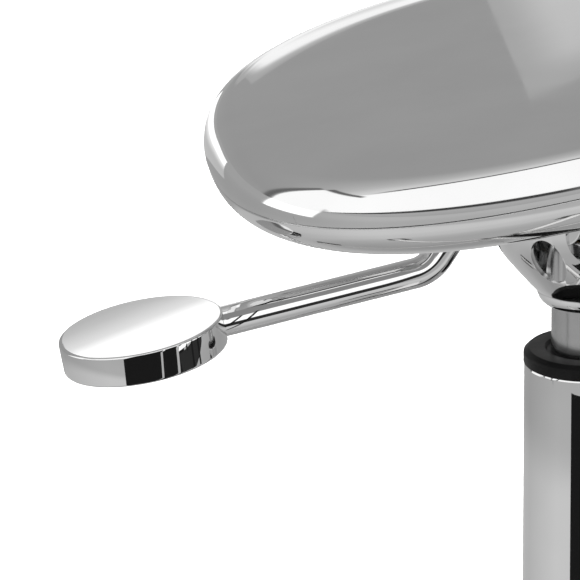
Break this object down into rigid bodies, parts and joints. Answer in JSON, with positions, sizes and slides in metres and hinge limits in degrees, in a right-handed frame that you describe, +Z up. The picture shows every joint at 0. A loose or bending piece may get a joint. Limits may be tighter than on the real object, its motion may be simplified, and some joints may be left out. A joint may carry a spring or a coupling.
{
  "type": "rolling stylist stool",
  "caption": "Rolling salon stool with a chromed rounded-square metal seat, tilting seat mount, gas height adjustment with a disc-knob lever, and a star base on twin-wheel casters.",
  "frame": {"origin": "on the floor, on the column's axis", "axes": "+Z up along the column; the seat tilts about +Y through the pivot above the column, and its -X edge is the low one at rest; the lever points to about 206 degrees"},
  "size_m": [0.6066, 0.577, 0.5018],
  "materials": {
    "chrome": "mirror-bright chrome plate on pressed and turned steel, with faint polishing marks",
    "polished_alloy": "die-cast aluminium polished to a bright lustre",
    "ground_steel": "centreless-ground steel, satin, with fine rings round the axis",
    "zinc_steel": "bright zinc-plated steel, slightly dull",
    "brass": "turned brass",
    "collar_plastic": "satin black acetal with a faint moulded grain",
    "caster_plastic": "black nylon, fine spark-eroded texture",
    "wheel_tread": "dark grey polyurethane tread, satin, lightly scuffed",
    "rubber": "black rubber buffer",
    "plywood": "birch plywood, plain sawn edge"
  },
  "bodies": {
    "base": {"star_base": "polished_alloy", "column_tube": "chrome", "guide_bush": "collar_plastic", "caster_stem_1": "zinc_steel", "caster_stem_2": "zinc_steel", "caster_stem_3": "zinc_steel", "caster_stem_4": "zinc_steel", "caster_stem_5": "zinc_steel"},
    "spindle": {"piston_rod": "ground_steel", "piston_head": "brass", "thrust_washers": "ground_steel", "bearing_balls": "ground_steel", "rubber_buffer": "rubber", "retaining_clip": "zinc_steel"},
    "lift": {"gas_cylinder": "ground_steel", "rod_gland": "collar_plastic", "valve_guide": "brass", "seat_bowl": "chrome", "tilt_pin_left": "ground_steel", "tilt_pin_right": "ground_steel"},
    "valve": {"valve_pin": "brass"},
    "seat": {"tilt_bracket": "zinc_steel", "tilt_bush_left": "collar_plastic", "tilt_bush_right": "collar_plastic", "lever_pivot_pin": "ground_steel", "bracket_screws": "zinc_steel", "seat_core": "plywood", "seat_shell_bottom": "chrome", "seat_shell_top": "chrome"},
    "lever": {"lever_rod": "chrome", "lever_tongue": "zinc_steel", "lever_knob": "chrome", "knob_set_screw": "zinc_steel"},
    "caster_1": {"caster_hood_1": "caster_plastic", "caster_axle_1": "zinc_steel"},
    "roller_left_1": {"wheel_left_1": "wheel_tread"},
    "roller_right_1": {"wheel_right_1": "wheel_tread"},
    "caster_2": {"caster_hood_2": "caster_plastic", "caster_axle_2": "zinc_steel"},
    "roller_left_2": {"wheel_left_2": "wheel_tread"},
    "roller_right_2": {"wheel_right_2": "wheel_tread"},
    "caster_3": {"caster_hood_3": "caster_plastic", "caster_axle_3": "zinc_steel"},
    "roller_left_3": {"wheel_left_3": "wheel_tread"},
    "roller_right_3": {"wheel_right_3": "wheel_tread"},
    "caster_4": {"caster_hood_4": "caster_plastic", "caster_axle_4": "zinc_steel"},
    "roller_left_4": {"wheel_left_4": "wheel_tread"},
    "roller_right_4": {"wheel_right_4": "wheel_tread"},
    "caster_5": {"caster_hood_5": "caster_plastic", "caster_axle_5": "zinc_steel"},
    "roller_left_5": {"wheel_left_5": "wheel_tread"},
    "roller_right_5": {"wheel_right_5": "wheel_tread"}
  },
  "joints": [
    {"name": "seat_swivel", "type": "hinge", "parent": "base", "child": "spindle", "pos_m": [0, 0, 0.074], "axis": [0, 0, 1], "continuous": true},
    {"name": "gas_lift", "type": "slide", "parent": "spindle", "child": "lift", "axis": [0, 0, 1], "range_m": [0, 0.12]},
    {"name": "seat_tilt", "type": "hinge", "parent": "lift", "child": "seat", "pos_m": [0, 0, 0.4114], "axis": [0, 1, 0], "range_deg": [0, 24]},
    {"name": "lever_lift", "type": "hinge", "parent": "seat", "child": "lever", "pos_m": [-0.02549, -0.01219, 0.41007], "axis": [-0.4257, 0.9003, -0.0905], "range_deg": [0, 6], "stiffness_Nm_per_rad": 4},
    {"name": "valve_press", "type": "slide", "parent": "lift", "child": "valve", "axis": [0, 0, 1], "range_m": [-0.0035, 0]},
    {"name": "caster_swivel_1", "type": "hinge", "parent": "base", "child": "caster_1", "pos_m": [0.25203, 0.08189, 0.04], "axis": [0, 0, 1], "continuous": true},
    {"name": "roller_left_spin_1", "type": "hinge", "parent": "caster_1", "child": "roller_left_1", "pos_m": [0.26915, 0.08745, 0.025], "axis": [-0.309, 0.9511, 0], "continuous": true},
    {"name": "roller_right_spin_1", "type": "hinge", "parent": "caster_1", "child": "roller_right_1", "pos_m": [0.26915, 0.08745, 0.025], "axis": [-0.309, 0.9511, 0], "continuous": true},
    {"name": "caster_swivel_2", "type": "hinge", "parent": "base", "child": "caster_2", "pos_m": [0, 0.265, 0.04], "axis": [0, 0, 1], "continuous": true},
    {"name": "roller_left_spin_2", "type": "hinge", "parent": "caster_2", "child": "roller_left_2", "pos_m": [0, 0.283, 0.025], "axis": [-1, 0, 0], "continuous": true},
    {"name": "roller_right_spin_2", "type": "hinge", "parent": "caster_2", "child": "roller_right_2", "pos_m": [0, 0.283, 0.025], "axis": [-1, 0, 0], "continuous": true},
    {"name": "caster_swivel_3", "type": "hinge", "parent": "base", "child": "caster_3", "pos_m": [-0.25203, 0.08189, 0.04], "axis": [0, 0, 1], "continuous": true},
    {"name": "roller_left_spin_3", "type": "hinge", "parent": "caster_3", "child": "roller_left_3", "pos_m": [-0.26915, 0.08745, 0.025], "axis": [-0.309, -0.9511, 0], "continuous": true},
    {"name": "roller_right_spin_3", "type": "hinge", "parent": "caster_3", "child": "roller_right_3", "pos_m": [-0.26915, 0.08745, 0.025], "axis": [-0.309, -0.9511, 0], "continuous": true},
    {"name": "caster_swivel_4", "type": "hinge", "parent": "base", "child": "caster_4", "pos_m": [-0.15576, -0.21439, 0.04], "axis": [0, 0, 1], "continuous": true},
    {"name": "roller_left_spin_4", "type": "hinge", "parent": "caster_4", "child": "roller_left_4", "pos_m": [-0.16634, -0.22895, 0.025], "axis": [0.809, -0.5878, 0], "continuous": true},
    {"name": "roller_right_spin_4", "type": "hinge", "parent": "caster_4", "child": "roller_right_4", "pos_m": [-0.16634, -0.22895, 0.025], "axis": [0.809, -0.5878, 0], "continuous": true},
    {"name": "caster_swivel_5", "type": "hinge", "parent": "base", "child": "caster_5", "pos_m": [0.15576, -0.21439, 0.04], "axis": [0, 0, 1], "continuous": true},
    {"name": "roller_left_spin_5", "type": "hinge", "parent": "caster_5", "child": "roller_left_5", "pos_m": [0.16634, -0.22895, 0.025], "axis": [0.809, 0.5878, 0], "continuous": true},
    {"name": "roller_right_spin_5", "type": "hinge", "parent": "caster_5", "child": "roller_right_5", "pos_m": [0.16634, -0.22895, 0.025], "axis": [0.809, 0.5878, 0], "continuous": true}
  ],
  "couplings": [
    {"joint": "valve_press", "follows": "lever_lift", "m_per_rad": -0.0295}
  ]
}
